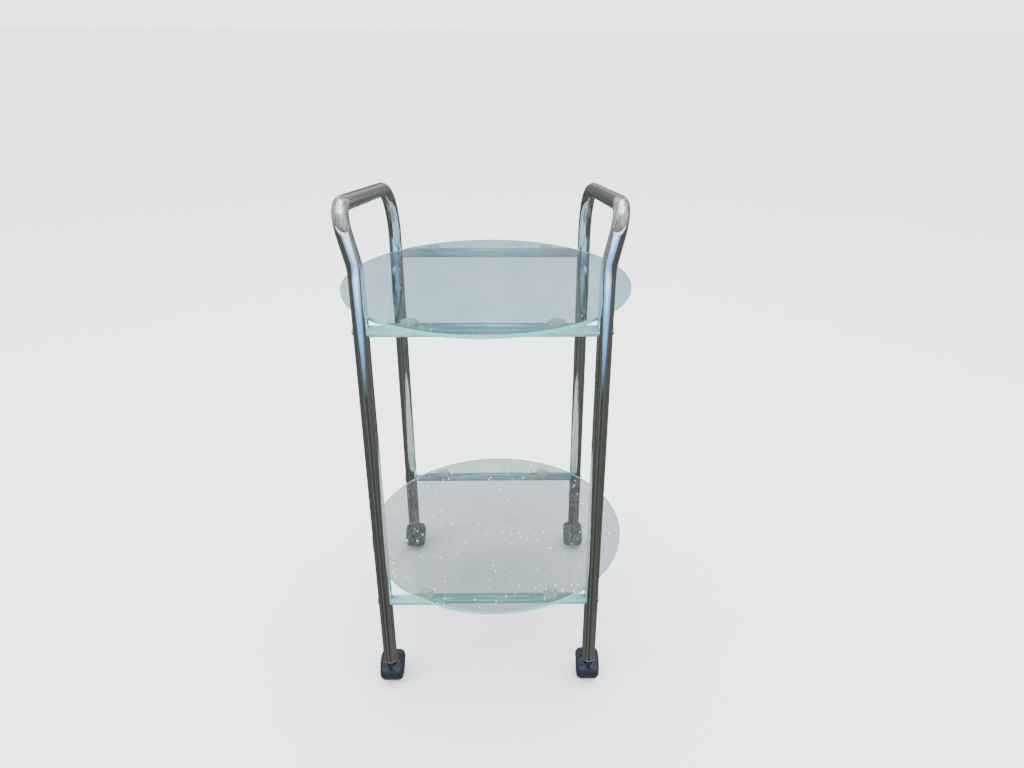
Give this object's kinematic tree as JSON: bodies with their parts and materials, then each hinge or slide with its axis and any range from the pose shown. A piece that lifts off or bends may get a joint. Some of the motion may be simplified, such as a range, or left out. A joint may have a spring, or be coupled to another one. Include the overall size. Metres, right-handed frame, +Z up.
{
  "type": "bar cart",
  "caption": "Serving cart with bent tube side frames that form handles, round glass shelves on cross rails, and hooded swivel casters.",
  "frame": {"origin": "on the floor, under the middle of the four legs", "axes": "+Z up, +X to the right along the cross rails, -Y the front, where the handles are highest"},
  "size_m": [0.511, 0.509, 0.928],
  "materials": {
    "chrome_tube": "polished chrome plate on bent steel tube",
    "chrome_rail": "polished chrome plate on straight steel tube",
    "zinc_fittings": "bright zinc plate",
    "shelf_glass": "clear float glass with a pale green-blue tint and ground edges",
    "clear_vinyl": "clear soft vinyl",
    "hood_plastic": "dark slate moulded nylon, half gloss",
    "wheel_plastic": "dark slate moulded nylon, worn tread"
  },
  "bodies": {
    "cart": {"left_side_frame": "chrome_tube", "right_side_frame": "chrome_tube", "lower_glass_shelf": "shelf_glass", "lower_front_rail": "chrome_rail", "lower_front_left_rail_insert": "zinc_fittings", "lower_front_left_rail_bolt": "zinc_fittings", "lower_front_left_pad": "clear_vinyl", "lower_front_right_rail_insert": "zinc_fittings", "lower_front_right_rail_bolt": "zinc_fittings", "lower_front_right_pad": "clear_vinyl", "lower_rear_rail": "chrome_rail", "lower_rear_left_rail_insert": "zinc_fittings", "lower_rear_left_rail_bolt": "zinc_fittings", "lower_rear_left_pad": "clear_vinyl", "lower_rear_right_rail_insert": "zinc_fittings", "lower_rear_right_rail_bolt": "zinc_fittings", "lower_rear_right_pad": "clear_vinyl", "upper_glass_shelf": "shelf_glass", "upper_front_rail": "chrome_rail", "upper_front_left_rail_insert": "zinc_fittings", "upper_front_left_rail_bolt": "zinc_fittings", "upper_front_left_pad": "clear_vinyl", "upper_front_right_rail_insert": "zinc_fittings", "upper_front_right_rail_bolt": "zinc_fittings", "upper_front_right_pad": "clear_vinyl", "upper_rear_rail": "chrome_rail", "upper_rear_left_rail_insert": "zinc_fittings", "upper_rear_left_rail_bolt": "zinc_fittings", "upper_rear_left_pad": "clear_vinyl", "upper_rear_right_rail_insert": "zinc_fittings", "upper_rear_right_rail_bolt": "zinc_fittings", "upper_rear_right_pad": "clear_vinyl", "front_left_caster_socket": "zinc_fittings", "front_right_caster_socket": "zinc_fittings", "rear_left_caster_socket": "zinc_fittings", "rear_right_caster_socket": "zinc_fittings"},
    "front_left_swivel": {"front_left_caster_hood": "hood_plastic", "front_left_caster_stem": "zinc_fittings", "front_left_caster_axle": "zinc_fittings"},
    "front_left_left_wheel_body": {"front_left_left_wheel": "wheel_plastic"},
    "front_left_right_wheel_body": {"front_left_right_wheel": "wheel_plastic"},
    "front_right_swivel": {"front_right_caster_hood": "hood_plastic", "front_right_caster_stem": "zinc_fittings", "front_right_caster_axle": "zinc_fittings"},
    "front_right_left_wheel_body": {"front_right_left_wheel": "wheel_plastic"},
    "front_right_right_wheel_body": {"front_right_right_wheel": "wheel_plastic"},
    "rear_left_swivel": {"rear_left_caster_hood": "hood_plastic", "rear_left_caster_stem": "zinc_fittings", "rear_left_caster_axle": "zinc_fittings"},
    "rear_left_left_wheel_body": {"rear_left_left_wheel": "wheel_plastic"},
    "rear_left_right_wheel_body": {"rear_left_right_wheel": "wheel_plastic"},
    "rear_right_swivel": {"rear_right_caster_hood": "hood_plastic", "rear_right_caster_stem": "zinc_fittings", "rear_right_caster_axle": "zinc_fittings"},
    "rear_right_left_wheel_body": {"rear_right_left_wheel": "wheel_plastic"},
    "rear_right_right_wheel_body": {"rear_right_right_wheel": "wheel_plastic"}
  },
  "joints": [
    {"name": "front_left_swivel_turn", "type": "hinge", "parent": "cart", "child": "front_left_swivel", "pos_m": [-0.1865, -0.1973, 0.05], "axis": [0, 0, 1], "continuous": true},
    {"name": "front_left_left_wheel_roll", "type": "hinge", "parent": "front_left_swivel", "child": "front_left_left_wheel_body", "pos_m": [-0.2005, -0.1813, 0.025], "axis": [1, 0, 0], "continuous": true},
    {"name": "front_left_right_wheel_roll", "type": "hinge", "parent": "front_left_swivel", "child": "front_left_right_wheel_body", "pos_m": [-0.1725, -0.1813, 0.025], "axis": [1, 0, 0], "continuous": true},
    {"name": "front_right_swivel_turn", "type": "hinge", "parent": "cart", "child": "front_right_swivel", "pos_m": [0.1865, -0.1973, 0.05], "axis": [0, 0, 1], "continuous": true},
    {"name": "front_right_left_wheel_roll", "type": "hinge", "parent": "front_right_swivel", "child": "front_right_left_wheel_body", "pos_m": [0.1725, -0.1813, 0.025], "axis": [1, 0, 0], "continuous": true},
    {"name": "front_right_right_wheel_roll", "type": "hinge", "parent": "front_right_swivel", "child": "front_right_right_wheel_body", "pos_m": [0.2005, -0.1813, 0.025], "axis": [1, 0, 0], "continuous": true},
    {"name": "rear_left_swivel_turn", "type": "hinge", "parent": "cart", "child": "rear_left_swivel", "pos_m": [-0.1865, 0.1973, 0.05], "axis": [0, 0, 1], "continuous": true},
    {"name": "rear_left_left_wheel_roll", "type": "hinge", "parent": "rear_left_swivel", "child": "rear_left_left_wheel_body", "pos_m": [-0.2005, 0.2133, 0.025], "axis": [1, 0, 0], "continuous": true},
    {"name": "rear_left_right_wheel_roll", "type": "hinge", "parent": "rear_left_swivel", "child": "rear_left_right_wheel_body", "pos_m": [-0.1725, 0.2133, 0.025], "axis": [1, 0, 0], "continuous": true},
    {"name": "rear_right_swivel_turn", "type": "hinge", "parent": "cart", "child": "rear_right_swivel", "pos_m": [0.1865, 0.1973, 0.05], "axis": [0, 0, 1], "continuous": true},
    {"name": "rear_right_left_wheel_roll", "type": "hinge", "parent": "rear_right_swivel", "child": "rear_right_left_wheel_body", "pos_m": [0.1725, 0.2133, 0.025], "axis": [1, 0, 0], "continuous": true},
    {"name": "rear_right_right_wheel_roll", "type": "hinge", "parent": "rear_right_swivel", "child": "rear_right_right_wheel_body", "pos_m": [0.2005, 0.2133, 0.025], "axis": [1, 0, 0], "continuous": true}
  ]
}
